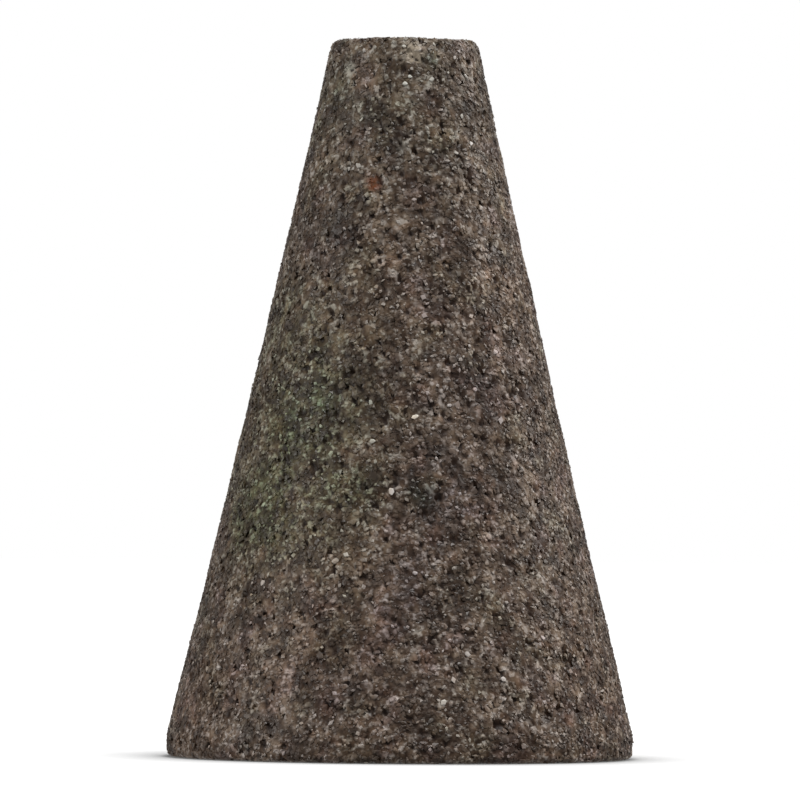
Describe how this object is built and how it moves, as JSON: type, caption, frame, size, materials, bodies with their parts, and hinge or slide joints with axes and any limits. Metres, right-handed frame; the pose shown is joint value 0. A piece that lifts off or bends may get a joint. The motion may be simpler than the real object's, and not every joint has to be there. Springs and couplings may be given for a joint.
{
  "type": "snagging cone",
  "caption": "Straight-sided snagging cone of coarse bonded abrasive, with a flat tip and a blind threaded steel bushing moulded into its base.",
  "frame": {"origin": "centre of the base, on the plane that the cone stands on", "axes": "+Z along the cone's axis, from the base to the tip; +X through one corner of the bushing's hexagon"},
  "size_m": [0.05, 0.05, 0.077],
  "materials": {
    "bonded_abrasive": "matte",
    "bushing_steel": "satin"
  },
  "bodies": {
    "root": {"abrasive_cone": "bonded_abrasive", "threaded_bushing": "bushing_steel"}
  },
  "joints": []
}
